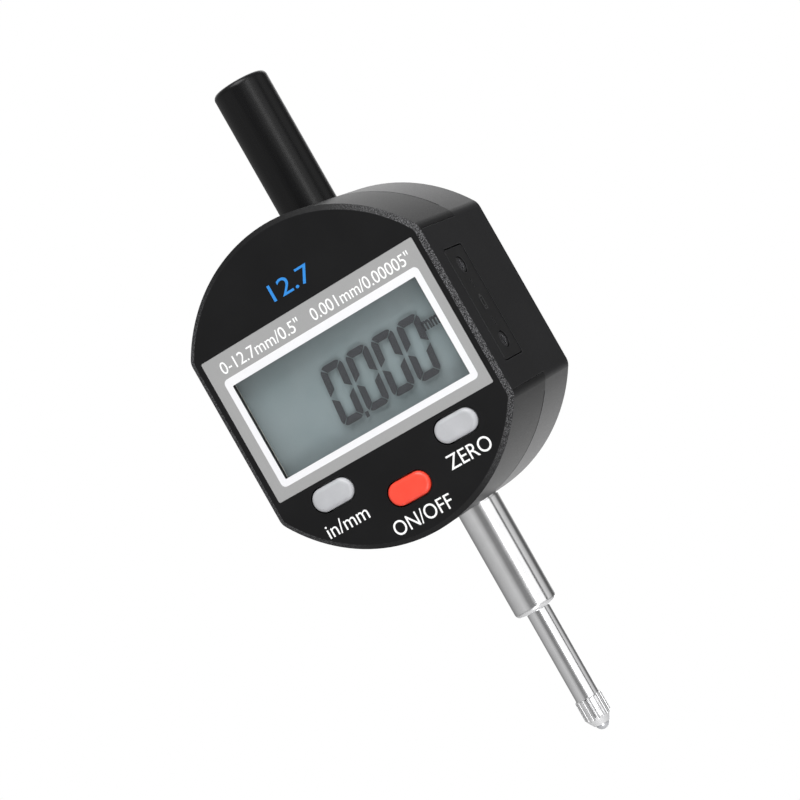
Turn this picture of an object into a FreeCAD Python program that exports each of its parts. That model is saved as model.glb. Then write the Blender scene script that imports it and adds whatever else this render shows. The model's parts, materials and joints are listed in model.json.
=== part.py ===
import FreeCAD, Part
import math
import os

# Digital plunger indicator, 12.7 mm travel, 8 mm stem.
# Frame: origin on the spindle axis, half-way along the bare stem.
# X to the right of the display, Y to the back, Z up the spindle axis. Millimetres.

V = FreeCAD.Vector
os.makedirs("parts", exist_ok=True)

# ---------------------------------------------------------------- driving dimensions

# general fits
run_gap = 0.03           # radial clearance of a running fit
seat_gap = 0.02          # clearance of a piece seated by hand
contact_gap = 0.05       # gap left between a moving piece and its stop

# body
dial_z = 40.0            # centre of the round body above the origin
body_radius = 29.4
flat_cut = 4.6           # depth of each side flat, measured in from the circle
axis_to_front = 20.4
axis_to_back = 8.2
corner_round = 2.5       # plan radius where a flat meets an arc
back_edge_round = 0.6
chamfer_width = 0.9      # front chamfer, across the face
chamfer_depth = 0.54     # front chamfer, along the body
arc_wall = 2.2
side_wall = 1.4          # front cover's inner side walls
face_wall = 2.2
back_wall = 1.8
wing_wall = 1.4          # rear housing's side wings, outside the front cover
wing_lip = 0.26          # front cover's lip in front of a wing
wing_gap = 0.1
inner_corner = 1.0
parting_wall = 0.4       # housing left between the stem hole and the parting plane
seam_half = 0.15         # groove round the arcs, half on each side of the parting plane
seam_depth = 0.2

# stem and spindle
stem_radius = 4.0
stem_end_z = -10.5
stem_edge_round = 1.0
stem_neck_step = 0.2     # neck inside the body, smaller than the bare stem
stem_mouth_gap = 0.12
stem_mouth_length = 0.8
spindle_radius = 2.2
travel = 12.7
spindle_below_stem = 17.5
spindle_edge = 0.3
bush_wall = 0.52
lower_bush_length = 12.0
wiper_length = 0.8
nut_thickness = 2.0
nut_back_gap = 0.4
nut_slot = 1.2
stem_above_nut = 0.1
lower_boss_height = 7.9  # from the bottom of the body to the boss's top
lower_boss_half = 6.5

# contact point
collar_step = 0.3        # collar's radius over the spindle's
collar_length = 3.6
collar_edge = 0.15
nose_length = 5.2        # from the collar's top to the ball's seat
nose_radius = 1.55
ball_radius = 1.33
tip_length = 6.33        # from the collar's top to the tip
flute_count = 16
flute_radius = 0.28
stud_radius = 1.25
stud_length = 5.0
stud_hole_extra = 0.5

# top cap, upper bush and stops
cap_radius = 5.15
cap_length = 25.8
cap_wall = 1.25
cap_end = 1.6
cap_edge_round = 1.0
cap_seat_gap = 0.2
cap_seal_thickness = 0.35
cap_seal_edge = 0.25
cap_seal_bore_gap = 0.2
cap_top_clearance = 1.0  # over the spindle at full travel
upper_boss_drop = 5.6    # from the top of the body to the boss's underside
upper_boss_half = 6.0
upper_bush_wall = 1.17
upper_bush_flange = 0.9
upper_bush_flange_thickness = 0.6
upper_bush_above_seat = 2.65
cap_thread_extra = 0.2
stop_washer_thickness = 0.8
stop_washer_bore_gap = 0.25
stop_washer_wall = 1.3

# display window
lens_side_margin = 1.96
lens_top_margin = 14.65
lens_bottom_margin = 16.98
lens_thickness = 1.0
lens_set_back = 0.02
lens_edge_gap = 0.05
lens_corner = 0.3
mask_thickness = 0.1
gasket_thickness = 0.2
frame_side_inset = 2.09  # white frame's outer edge in from the lens's edge
frame_top_inset = 4.41
frame_bottom_inset = 1.86
frame_side_width = 1.22
frame_top_width = 1.47
frame_bottom_width = 1.2
opening_margin = 0.65    # cover's opening beyond the clear window

# liquid-crystal display
glass_thickness = 0.7
glass_side_overlap = 1.4
glass_end_overlap = 2.5
rear_glass_side_overlap = 0.9
rear_glass_end_overlap = 0.45
reflector_thickness = 0.2
glass_gap = 0.05
holder_wall = 0.6
holder_gap = 0.1
holder_floor = 0.6
strip_height = 1.5       # conductive rubber strips, along Z
strip_end_gap = 0.25

# buttons
button_length = 8.3
button_width = 4.2
button_proud = 0.55
button_edge = 0.8
button_gap = 0.25
button_flange = 0.4
button_flange_thickness = 0.6
button_post_radius = 1.4
button_travel = 0.5
button_post_over = 0.1   # post's length beyond the travel
side_button_in = 11.7    # from the flat to the button's centre
side_button_drop = 3.22  # below the lens
low_button_rise = 8.45   # above the bottom of the body
dome_top_radius = 1.7
dome_foot_radius = 2.6
dome_wall = 0.35
dome_top_wall = 0.5
membrane_thickness = 0.5
membrane_disc = 2.9
membrane_bar = 3.0
membrane_hole = 1.9

# circuit boards
face_to_board = 5.5      # from the front plane to the main board
board_thickness = 1.2
board_gap = 0.8
board_side_gap = 0.4
board_boss_radius = 1.6
board_boss_x = 8.5
board_boss_rise = 3.6
board_boss_drop = 3.1
small_screw_radius = 0.8
small_head_radius = 1.4
small_head_height = 0.8
small_screw_length = 2.6
reader_gap = 0.3
reader_thickness = 0.8
reader_left = 14.3
reader_right = 8.5
reader_low = 4.5
reader_high = 11.5
reader_post_radius = 1.4
reader_post_left = 12.8
reader_post_left_rise = 2.0
reader_post_right = 7.0
reader_post_right_rise = 9.8
chip_size = 7.0
chip_height = 1.0
crystal_radius = 1.0
crystal_length = 6.0
connector_length = 9.0
connector_height = 2.5
connector_depth = 1.3
flex_width = 7.0
flex_thickness = 0.15
flex_lap = 4.0
flex_rise = 1.0

# battery
cell_radius = 5.8
cell_thickness = 5.4
cell_side_gap = 0.1
pocket_gap = 0.15        # round the cell
pocket_depth_gap = 0.6   # over the cell's thickness
holder_side = 0.9
holder_skin = 0.35
holder_end = 0.7
notch_gap = 0.3
contact_thickness = 0.12
contact_width = 3.0
contact_bump_radius = 0.8
contact_lap = 0.7
cover_length = 20.5
cover_width = 7.66
cover_thickness = 1.2
cover_gap = 0.25
cover_corner = 0.5
cover_seal_thickness = 0.25
cover_seal_edge = 0.08
cover_screw_spacing = 14.14
cover_screw_radius = 0.75
cover_screw_length = 5.2
cover_head_radius = 1.35
cover_head_height = 0.55
cover_head_recess = 0.7
cover_head_gap = 0.2
cover_boss_half = 1.5
cover_boss_length = 3.2
dash_length = 1.5
dash_width = 0.35
dash_depth = 0.15
dash_offset = 3.6

# housing fasteners and seal
pillar_radius = 2.5
pillar_in = 2.2          # pillar's centre in from the cavity's wall
pillar_angles = (54.0, 126.0, 246.0, 294.0)
housing_screw_radius = 1.0
housing_screw_gap = 0.1
housing_screw_length = 16.0
housing_head_radius = 1.8
housing_head_height = 1.3
housing_head_recess = 1.9
housing_head_gap = 0.15
thread_end_gap = 1.0
seal_width = 0.6
seal_depth = 0.6
cross_width = 0.22       # cross recess, as a share of the head's radius
cross_reach = 0.62
cross_depth = 0.5        # as a share of the head's height

# carriage, guide and spring
carriage_front_wall = 3.9
carriage_web = 1.5
carriage_half = 5.0
lug_half = 4.5
lug_height = 6.0
scale_thickness = 0.8
scale_half = 4.5
set_screw_radius = 1.0
set_screw_length = 2.0
rail_thickness = 1.2
rail_gap = 0.4
rail_half = 2.6
rail_end = 2.2
guide_pin_radius = 0.8
guide_pin_end_gap = 0.3
guide_pin_start = 0.5
guide_slot_over = 0.4
rail_screw_radius = 0.6
rail_screw_head = 1.1
rail_screw_bite = 1.0
rail_screw_head_height = 0.6
spring_x = -8.0
spring_radius = 1.6
spring_wire = 0.2
spring_pitch = 0.85
spring_hook_gap = 0.05
spring_lead = 0.4
spring_bend = 1.1        # ball at a bend, as a share of the wire's radius
fixed_pin_radius = 0.9
fixed_pin_rise = 2.0
fixed_pin_reach = 1.2
fixed_pin_bite = 1.0
moving_pin_radius = 0.7
moving_pin_reach = 1.2
moving_pin_start = 0.8

# ---------------------------------------------------------------- derived places

front_y = -axis_to_front
back_y = axis_to_back
back_inner_y = back_y - back_wall
face_inner_y = front_y + face_wall
parting_y = -(stem_radius + parting_wall)
wing_front_y = front_y + chamfer_depth + wing_lip

flat_half = body_radius - flat_cut
side_outer = flat_half - wing_wall - wing_gap
cavity_half = side_outer - side_wall
cavity_radius = body_radius - arc_wall
body_top_z = dial_z + body_radius
body_bottom_z = dial_z - body_radius

lens_half = flat_half - lens_side_margin
lens_top_z = body_top_z - lens_top_margin
lens_bottom_z = body_bottom_z + lens_bottom_margin
frame_half = lens_half - frame_side_inset
frame_top_z = lens_top_z - frame_top_inset
frame_bottom_z = lens_bottom_z + frame_bottom_inset
window_half = frame_half - frame_side_width
window_top_z = frame_top_z - frame_top_width
window_bottom_z = frame_bottom_z + frame_bottom_width
mask_y = front_y + lens_set_back
lens_y = mask_y + mask_thickness
gasket_y = lens_y + lens_thickness
ledge_y = gasket_y + gasket_thickness

glass_y = face_inner_y + glass_gap
rear_glass_y = glass_y + glass_thickness
reflector_y = rear_glass_y + glass_thickness
holder_floor_y = reflector_y + reflector_thickness + glass_gap
glass_half = window_half + glass_side_overlap
glass_top_z = window_top_z + glass_end_overlap
glass_bottom_z = window_bottom_z - glass_end_overlap
rear_glass_half = window_half + rear_glass_side_overlap
rear_glass_top_z = window_top_z + rear_glass_end_overlap
rear_glass_bottom_z = window_bottom_z - rear_glass_end_overlap
holder_half = glass_half + holder_gap + holder_wall
holder_top_z = glass_top_z + holder_gap + holder_wall
holder_bottom_z = glass_bottom_z - holder_gap - holder_wall

board_y = front_y + face_to_board
board_back_y = board_y + board_thickness
membrane_y = board_y - membrane_thickness
flange_y = face_inner_y + contact_gap
post_y = flange_y + button_flange_thickness
dome_y = post_y + button_travel + button_post_over
side_button_x = flat_half - side_button_in
side_button_z = lens_bottom_z - side_button_drop
low_button_z = body_bottom_z + low_button_rise
button_places = {
    "unit": (-side_button_x, side_button_z),
    "power": (0.0, low_button_z),
    "zero": (side_button_x, side_button_z),
}
board_boss_places = (
    (-board_boss_x, holder_top_z + board_boss_rise),
    (board_boss_x, holder_top_z + board_boss_rise),
    (0.0, lens_bottom_z - board_boss_drop),
)
board_radius = cavity_radius - board_gap
board_half = cavity_half - board_side_gap
connector_z = dial_z + reader_high
connector_top_z = connector_z + connector_height
flex_board_y = board_back_y + connector_depth / 2

pocket_half_depth = (cell_thickness + pocket_depth_gap) / 2
cell_y = board_y - contact_thickness + pocket_half_depth
pocket_y = cell_y - pocket_half_depth
pocket_back_y = cell_y + pocket_half_depth
pocket_half_z = cell_radius + pocket_gap
cell_x = cavity_half - cell_side_gap - cell_radius
holder_right = cavity_half - contact_gap
pocket_left = cell_x - cell_radius - pocket_gap - contact_thickness
cover_inner_x = side_outer + cover_seal_thickness
cover_outer_x = cover_inner_x + cover_thickness
cover_screw_seat_x = cover_outer_x - cover_head_recess
cover_screw_heights = (dial_z - cover_screw_spacing / 2, dial_z + cover_screw_spacing / 2)

pillar_ring = cavity_radius - pillar_in
pillar_places = [
    (
        pillar_ring * math.cos(math.radians(angle)),
        dial_z + pillar_ring * math.sin(math.radians(angle)),
    )
    for angle in pillar_angles
]
housing_head_y = back_y - housing_head_recess

stem_bore = spindle_radius + run_gap + bush_wall
neck_radius = stem_radius - stem_neck_step
neck_z = body_bottom_z - contact_gap
lower_boss_z = body_bottom_z + lower_boss_height
stem_top_z = lower_boss_z + nut_thickness + stem_above_nut
wiper_z = stem_end_z + stem_mouth_length
lower_bush_z = wiper_z + wiper_length
nut_radius = back_inner_y - nut_back_gap
lower_stop_z = stem_top_z + stop_washer_thickness
upper_boss_z = body_top_z - upper_boss_drop
upper_bush_z = upper_boss_z - upper_bush_flange_thickness
upper_stop_z = upper_bush_z - stop_washer_thickness
upper_bush_radius = spindle_radius + run_gap + upper_bush_wall
cap_seat_radius = cap_radius + cap_seat_gap
cap_seat_z = dial_z + math.sqrt(body_radius ** 2 - cap_seat_radius ** 2) - cap_seal_thickness
cap_z = cap_seat_z + cap_seal_thickness
cap_top_z = cap_z + cap_length
cap_inner_top_z = cap_top_z - cap_end
upper_bush_top_z = cap_seat_z + upper_bush_above_seat

spindle_end_z = stem_end_z - spindle_below_stem
spindle_top_z = cap_inner_top_z - cap_top_clearance - travel
collar_radius = spindle_radius + collar_step
tip_z = spindle_end_z - tip_length
ball_z = tip_z + ball_radius

carriage_z = lower_stop_z + contact_gap
carriage_top_z = upper_stop_z - contact_gap - travel
carriage_y = -(spindle_radius + carriage_front_wall)
rail_y = back_inner_y - rail_thickness
carriage_back_y = rail_y - rail_gap
scale_y = carriage_y - scale_thickness
reader_back_y = scale_y - reader_gap
reader_y = reader_back_y - reader_thickness
lower_lug_z = carriage_z + lug_height / 2
upper_lug_z = carriage_top_z - lug_height / 2
guide_slot_half = guide_pin_radius + run_gap
guide_slot_z = lower_lug_z - guide_pin_radius - guide_slot_over
guide_slot_top_z = lower_lug_z + travel + guide_pin_radius + guide_slot_over
rail_z = guide_slot_z - rail_end
rail_top_z = guide_slot_top_z + rail_end
rail_screw_heights = (rail_z + rail_end / 2, rail_top_z - rail_end / 2)
reader_posts = (
    (-reader_post_left, dial_z + reader_post_left_rise),
    (reader_post_right, dial_z + reader_post_right_rise),
)
fixed_pin_z = lower_boss_z + fixed_pin_rise


# ---------------------------------------------------------------- solid helpers

def box(x0, x1, y0, y1, z0, z1):
    return Part.makeBox(x1 - x0, y1 - y0, z1 - z0, V(x0, y0, z0))


def cyl_x(radius, x0, x1, y, z):
    return Part.makeCylinder(radius, x1 - x0, V(x0, y, z), V(1, 0, 0))


def cyl_y(radius, y0, y1, x, z):
    return Part.makeCylinder(radius, y1 - y0, V(x, y0, z), V(0, 1, 0))


def cyl_z(radius, z0, z1, x=0.0, y=0.0):
    return Part.makeCylinder(radius, z1 - z0, V(x, y, z0), V(0, 0, 1))


def tube_z(outer, inner, z0, z1):
    return cyl_z(outer, z0, z1).cut(cyl_z(inner, z0, z1))


def obround_y(length, width, y0, y1, x, z):
    # a slot-shaped prism, long along X
    radius = width / 2
    half = length / 2 - radius
    ends = [cyl_y(radius, y0, y1, x - half, z), cyl_y(radius, y0, y1, x + half, z)]
    middle = box(x - half, x + half, y0, y1, z - radius, z + radius)
    return middle.fuse(ends).removeSplitter()


def frame_plate(outer, inner, y0, y1):
    # a flat rectangular ring; outer and inner are (half width, low z, high z)
    plate = box(-outer[0], outer[0], y0, y1, outer[1], outer[2])
    plate = round_edges_along(plate, V(0, 1, 0), lens_corner)
    return plate.cut(box(-inner[0], inner[0], y0, y1, inner[1], inner[2]))


def round_edges_along(shape, axis, radius):
    # rounds every straight edge that runs along the axis
    edges = []
    for edge in shape.Edges:
        if not isinstance(edge.Curve, Part.Line):
            continue
        if abs(abs(edge.Curve.Direction.dot(axis)) - 1) < 1e-6:
            edges.append(edge)
    return shape.makeFillet(radius, edges)


def body_outline(radius, half, corner, y):
    # the body's plan: a circle with a flat cut on each side and rounded corners
    reach = radius - corner
    corner_x = half - corner
    corner_z = math.sqrt(reach ** 2 - corner_x ** 2)
    scale = radius / reach
    angle = math.atan2(corner_z, corner_x) / 2
    mid_x = corner_x + corner * math.cos(angle)
    mid_z = corner_z + corner * math.sin(angle)

    def at(x, z):
        return V(x, y, dial_z + z)

    tangent_x = corner_x * scale
    tangent_z = corner_z * scale
    edges = [
        Part.LineSegment(at(half, -corner_z), at(half, corner_z)),
        Part.Arc(at(half, corner_z), at(mid_x, mid_z), at(tangent_x, tangent_z)),
        Part.Arc(at(tangent_x, tangent_z), at(0, radius), at(-tangent_x, tangent_z)),
        Part.Arc(at(-tangent_x, tangent_z), at(-mid_x, mid_z), at(-half, corner_z)),
        Part.LineSegment(at(-half, corner_z), at(-half, -corner_z)),
        Part.Arc(at(-half, -corner_z), at(-mid_x, -mid_z), at(-tangent_x, -tangent_z)),
        Part.Arc(at(-tangent_x, -tangent_z), at(0, -radius), at(tangent_x, -tangent_z)),
        Part.Arc(at(tangent_x, -tangent_z), at(mid_x, -mid_z), at(half, -corner_z)),
    ]
    return Part.Wire([edge.toShape() for edge in edges])


def body_prism(radius, half, corner, y0, y1):
    return Part.Face(body_outline(radius, half, corner, y0)).extrude(V(0, y1 - y0, 0))


def cavity_prism(y0, y1):
    return body_prism(cavity_radius, cavity_half, inner_corner, y0, y1)


def wing_blocks(grow):
    # the space of the two side wings, grown by a gap
    reach = body_radius - corner_round
    rise = math.sqrt(reach ** 2 - (flat_half - corner_round) ** 2) + grow
    low = dial_z - rise
    high = dial_z + rise
    inner = flat_half - wing_wall - grow
    y0 = wing_front_y
    right = box(inner, flat_half + 1, y0, parting_y, low, high)
    left = box(-flat_half - 1, -inner, y0, parting_y, low, high)
    return right.fuse(left)


def cross_recess(radius, depth, axis, centre):
    # a cross-shaped drive recess, cut down from the head's face at centre along axis
    half = radius * cross_reach
    slot = radius * cross_width
    arm_a = box(-half, half, -slot, slot, 0, depth)
    arm_b = box(-slot, slot, -half, half, 0, depth)
    cross = arm_a.fuse(arm_b)
    cross.Placement = FreeCAD.Placement(centre, FreeCAD.Rotation(V(0, 0, 1), axis))
    return cross


# ---------------------------------------------------------------- body shells

def seam_groove():
    # the groove along the parting plane, on the arcs between the two wings
    y0 = parting_y - seam_half
    y1 = parting_y + seam_half
    outer = cyl_y(body_radius + 1, y0, y1, 0.0, dial_z)
    inner = cyl_y(body_radius - seam_depth, y0, y1, 0.0, dial_z)
    between = box(-side_outer, side_outer, y0, y1, body_bottom_z - 1, body_top_z + 1)
    return outer.cut(inner).common(between)


def make_rear_housing():
    shell = body_prism(body_radius, flat_half, corner_round, parting_y, back_y)
    rim = [edge for edge in shell.Edges if abs(edge.BoundBox.YMin - back_y) < 1e-6]
    shell = shell.makeFillet(back_edge_round, rim)
    wings = body_prism(body_radius, flat_half, corner_round, wing_front_y, parting_y)
    wings = wings.common(wing_blocks(0.0))
    outer = shell.fuse(wings)
    body = outer.cut(cavity_prism(parting_y, back_inner_y))
    lower_boss = box(
        -lower_boss_half, lower_boss_half, parting_y, back_inner_y,
        body_bottom_z + arc_wall / 2, lower_boss_z,
    )
    upper_boss = box(
        -upper_boss_half, upper_boss_half, parting_y, back_inner_y,
        upper_boss_z, body_top_z - arc_wall / 2,
    )
    bosses = lower_boss.fuse(upper_boss)
    plan = body_prism(body_radius - arc_wall / 2, flat_half, corner_round, parting_y, back_inner_y)
    bosses = bosses.common(plan)
    pillars = [cyl_y(pillar_radius, parting_y, back_inner_y, x, z) for x, z in pillar_places]
    posts = [cyl_y(reader_post_radius, reader_back_y, back_inner_y, x, z) for x, z in reader_posts]
    plan = body_prism(body_radius - arc_wall / 2, flat_half, corner_round, reader_back_y, back_inner_y)
    added = [piece.common(plan) for piece in pillars + posts]
    body = body.fuse([bosses] + added)

    cuts = [cyl_z(neck_radius + seat_gap, body_bottom_z - 1, lower_boss_z + 1)]
    cuts.append(cyl_z(upper_bush_radius + seat_gap, upper_boss_z - 1, body_top_z + 1))
    cuts.append(cyl_z(cap_seat_radius, cap_seat_z, body_top_z + 1))
    hole = housing_screw_radius + housing_screw_gap
    recess = housing_head_radius + housing_head_gap
    for x, z in pillar_places:
        cuts.append(cyl_y(hole, parting_y - 1, back_y, x, z))
        cuts.append(cyl_y(recess, housing_head_y, back_y + 1, x, z))
    for x, z in reader_posts:
        bite = reader_back_y + small_screw_length + thread_end_gap
        cuts.append(cyl_y(small_screw_radius + seat_gap, reader_back_y - 1, bite, x, z))
    for z in rail_screw_heights:
        bite = back_inner_y + rail_screw_bite
        cuts.append(cyl_y(rail_screw_radius + seat_gap, back_inner_y - 1, bite, 0.0, z))
    pin_end = back_inner_y + fixed_pin_bite
    cuts.append(cyl_y(fixed_pin_radius + seat_gap, back_inner_y - 1, pin_end, spring_x, fixed_pin_z))
    cuts.append(cover_block(cover_gap, side_outer, flat_half + 1))
    cuts.append(seam_groove())
    for cut in cuts:
        body = body.cut(cut)
    return body.removeSplitter()


def make_front_cover():
    edge_y = front_y + chamfer_depth
    face_wire = body_outline(
        body_radius - chamfer_width, flat_half - chamfer_width,
        corner_round - chamfer_width, front_y,
    )
    edge_wire = body_outline(body_radius, flat_half, corner_round, edge_y)
    front = Part.makeLoft([face_wire, edge_wire], True, True)
    skirt = body_prism(body_radius, flat_half, corner_round, edge_y, parting_y)
    body = front.fuse(skirt)
    body = body.cut(wing_blocks(wing_gap))
    body = body.cut(cavity_prism(face_inner_y, parting_y))

    pillars = [cyl_y(pillar_radius, face_inner_y, parting_y, x, z) for x, z in pillar_places]
    plan = body_prism(
        body_radius - arc_wall / 2, side_outer, inner_corner, face_inner_y - 1, parting_y
    )
    bosses = [
        cyl_y(board_boss_radius, face_inner_y, board_y, x, z) for x, z in board_boss_places
    ]
    body = body.fuse([pillar.common(plan) for pillar in pillars] + bosses)

    recess = box(
        -lens_half - lens_edge_gap, lens_half + lens_edge_gap, front_y - 1, ledge_y,
        lens_bottom_z - lens_edge_gap, lens_top_z + lens_edge_gap,
    )
    recess = round_edges_along(recess, V(0, 1, 0), lens_corner)
    opening = box(
        -window_half - opening_margin, window_half + opening_margin, front_y, face_inner_y + 1,
        window_bottom_z - opening_margin, window_top_z + opening_margin,
    )
    cuts = [recess, opening]
    for x, z in button_places.values():
        length = button_length + 2 * button_gap
        width = button_width + 2 * button_gap
        cuts.append(obround_y(length, width, front_y - 1, face_inner_y + 1, x, z))
    for x, z in pillar_places:
        depth = housing_head_y - housing_screw_length - thread_end_gap
        cuts.append(cyl_y(housing_screw_radius + seat_gap, depth, parting_y + 1, x, z))
    for x, z in board_boss_places:
        depth = board_y - small_screw_length
        cuts.append(cyl_y(small_screw_radius + seat_gap, depth, board_y + 1, x, z))
    cuts.append(
        box(
            cavity_half - 1, side_outer + 1, pocket_y, pocket_back_y,
            dial_z - pocket_half_z, dial_z + pocket_half_z,
        )
    )
    for z in cover_screw_heights:
        hole = cover_screw_radius + housing_screw_gap
        cuts.append(cyl_x(hole, cavity_half - 1, side_outer + 1, cell_y, z))
    cuts.append(cyl_z(cap_seat_radius, cap_seat_z, body_top_z + 1))
    cuts.append(seal_ring())
    cuts.append(seam_groove())
    for cut in cuts:
        body = body.cut(cut)
    return body.removeSplitter()


def seal_ring():
    # a cord of square section that follows the parting line, in the front cover's rim
    arc_line = body_radius - arc_wall / 2 - seal_width / 2
    side_line = (cavity_half + side_outer) / 2
    y0 = parting_y - seal_depth
    half = seal_width / 2
    outer = body_prism(arc_line + half, side_line + half, inner_corner + half, y0, parting_y)
    inner = body_prism(arc_line - half, side_line - half, inner_corner - half, y0, parting_y)
    return outer.cut(inner)


def make_housing_screws():
    screws = []
    for x, z in pillar_places:
        head_y = housing_head_y + housing_head_height
        head = cyl_y(housing_head_radius, housing_head_y, head_y, x, z)
        shank = cyl_y(
            housing_screw_radius, housing_head_y - housing_screw_length, housing_head_y, x, z
        )
        depth = housing_head_height * cross_depth
        recess = cross_recess(housing_head_radius, depth, V(0, -1, 0), V(x, head_y, z))
        screws.append(head.fuse(shank).cut(recess).removeSplitter())
    return Part.makeCompound(screws)


# ---------------------------------------------------------------- display

def make_display_lens():
    lens = box(-lens_half, lens_half, lens_y, gasket_y, lens_bottom_z, lens_top_z)
    return round_edges_along(lens, V(0, 1, 0), lens_corner)


def make_lens_mask():
    outer = (lens_half, lens_bottom_z, lens_top_z)
    inner = (window_half, window_bottom_z, window_top_z)
    return frame_plate(outer, inner, mask_y, lens_y)


def make_lens_gasket():
    margin = opening_margin + seat_gap
    outer = (lens_half, lens_bottom_z, lens_top_z)
    inner = (window_half + margin, window_bottom_z - margin, window_top_z + margin)
    return frame_plate(outer, inner, gasket_y, ledge_y)


def make_lcd_front_glass():
    return box(-glass_half, glass_half, glass_y, rear_glass_y, glass_bottom_z, glass_top_z)


def make_lcd_rear_glass():
    return box(
        -rear_glass_half, rear_glass_half, rear_glass_y, reflector_y,
        rear_glass_bottom_z, rear_glass_top_z,
    )


def make_lcd_reflector():
    return box(
        -rear_glass_half, rear_glass_half, reflector_y, reflector_y + reflector_thickness,
        rear_glass_bottom_z, rear_glass_top_z,
    )


def strip_spaces(grow):
    # the two conductive rubber strips, above and below the rear glass
    upper_z = rear_glass_top_z + strip_end_gap
    lower_z = rear_glass_bottom_z - strip_end_gap - strip_height
    spaces = []
    for z in (lower_z, upper_z):
        spaces.append(
            box(
                -rear_glass_half - grow, rear_glass_half + grow, rear_glass_y, board_y,
                z - grow, z + strip_height + grow,
            )
        )
    return spaces


def make_contact_strips():
    return Part.makeCompound(strip_spaces(0.0))


def make_lcd_holder():
    block = box(-holder_half, holder_half, glass_y, board_y, holder_bottom_z, holder_top_z)
    room = body_prism(
        cavity_radius - holder_gap, cavity_half - holder_gap, inner_corner, glass_y, board_y
    )
    block = block.common(room)
    front_pocket = box(
        -glass_half - holder_gap, glass_half + holder_gap, glass_y, rear_glass_y,
        glass_bottom_z - holder_gap, glass_top_z + holder_gap,
    )
    rear_pocket = box(
        -rear_glass_half - holder_gap, rear_glass_half + holder_gap, rear_glass_y, holder_floor_y,
        rear_glass_bottom_z - holder_gap, rear_glass_top_z + holder_gap,
    )
    floor_back = holder_floor_y + holder_floor
    back_pocket = box(
        -rear_glass_half, rear_glass_half, floor_back, board_y,
        rear_glass_bottom_z, rear_glass_top_z,
    )
    battery_room = box(
        pocket_left - holder_end - notch_gap, holder_half, floor_back, board_y,
        dial_z - pocket_half_z - holder_side - notch_gap,
        dial_z + pocket_half_z + holder_side + notch_gap,
    )
    cuts = [front_pocket, rear_pocket, back_pocket, battery_room]
    cuts += strip_spaces(contact_gap)
    for cut in cuts:
        block = block.cut(cut)
    return block


# ---------------------------------------------------------------- buttons and keypad

def make_button(x, z):
    crown_y = front_y - button_proud
    crown = obround_y(button_length, button_width, crown_y, flange_y, x, z)
    rim = [edge for edge in crown.Edges if abs(edge.BoundBox.YMax - crown_y) < 1e-6]
    crown = crown.makeFillet(button_edge, rim)
    flange = obround_y(
        button_length + 2 * button_flange, button_width + 2 * button_flange,
        flange_y, post_y, x, z,
    )
    post = cyl_y(button_post_radius, post_y, dome_y, x, z)
    return crown.fuse([flange, post]).removeSplitter()


def make_dome(x, z):
    # a hollow rubber cone under the button's post
    top_y = dome_y + contact_gap
    height = membrane_y - top_y
    outer = Part.makeCone(dome_top_radius, dome_foot_radius, height, V(x, top_y, z), V(0, 1, 0))
    hollow_y = top_y + dome_top_wall
    hollow = Part.makeCone(
        dome_top_radius - dome_wall, dome_foot_radius - dome_wall, height - dome_top_wall,
        V(x, hollow_y, z), V(0, 1, 0),
    )
    return outer.cut(hollow)


def make_keypad_membrane():
    places = button_places
    discs = [cyl_y(membrane_disc, membrane_y, board_y, x, z) for x, z in places.values()]
    bars = []
    low = places["power"]
    for name in ("unit", "zero"):
        x, z = places[name]
        run = math.hypot(x - low[0], z - low[1])
        bar = box(0, run, membrane_y, board_y, -membrane_bar / 2, membrane_bar / 2)
        turn = math.degrees(math.atan2(z - low[1], x - low[0]))
        bar.rotate(V(0, 0, 0), V(0, -1, 0), turn)
        bar.translate(V(low[0], 0, low[1]))
        bars.append(bar)
    sheet = discs[0].fuse(discs[1:] + bars)
    for x, z in places.values():
        sheet = sheet.cut(cyl_y(membrane_hole, membrane_y, board_y, x, z))
    return sheet.removeSplitter()


# ---------------------------------------------------------------- electronics

def make_main_board():
    board = body_prism(board_radius, board_half, inner_corner, board_y, board_back_y)
    notch = box(
        pocket_left - holder_end - notch_gap, board_half + 1, board_y, board_back_y,
        dial_z - pocket_half_z - holder_side - notch_gap,
        dial_z + pocket_half_z + holder_side + notch_gap,
    )
    board = board.cut(notch)
    for x, z in pillar_places:
        board = board.cut(cyl_y(pillar_radius + notch_gap, board_y, board_back_y, x, z))
    for x, z in board_boss_places:
        board = board.cut(
            cyl_y(small_screw_radius + housing_screw_gap, board_y, board_back_y, x, z)
        )
    return board


def make_small_screws(places, seat_y, facing):
    # pan-head screws; facing is +1 when the head is on the back side, -1 on the front
    screws = []
    for x, z in places:
        if facing > 0:
            head = cyl_y(small_head_radius, seat_y, seat_y + small_head_height, x, z)
            length = small_screw_length + board_thickness - thread_end_gap / 2
            shank = cyl_y(small_screw_radius, seat_y - length, seat_y, x, z)
            top = V(x, seat_y + small_head_height, z)
        else:
            head = cyl_y(small_head_radius, seat_y - small_head_height, seat_y, x, z)
            length = small_screw_length + reader_thickness
            shank = cyl_y(small_screw_radius, seat_y, seat_y + length, x, z)
            top = V(x, seat_y - small_head_height, z)
        depth = small_head_height * cross_depth
        recess = cross_recess(small_head_radius, depth, V(0, -facing, 0), top)
        screws.append(head.fuse(shank).cut(recess).removeSplitter())
    return Part.makeCompound(screws)


def make_driver_chip():
    right = -chip_size / 4
    low = dial_z - chip_size / 2
    return box(
        right - chip_size, right, board_back_y, board_back_y + chip_height, low, low + chip_size
    )


def make_crystal():
    y = board_back_y + crystal_radius + contact_gap
    z = dial_z - chip_size
    x = -chip_size
    can = cyl_x(crystal_radius, x, x + crystal_length, y, z)
    foot = box(
        x + crystal_radius, x + crystal_length - crystal_radius, board_back_y, y,
        z - crystal_radius / 2, z + crystal_radius / 2,
    )
    return can.fuse(foot).removeSplitter()


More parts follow.
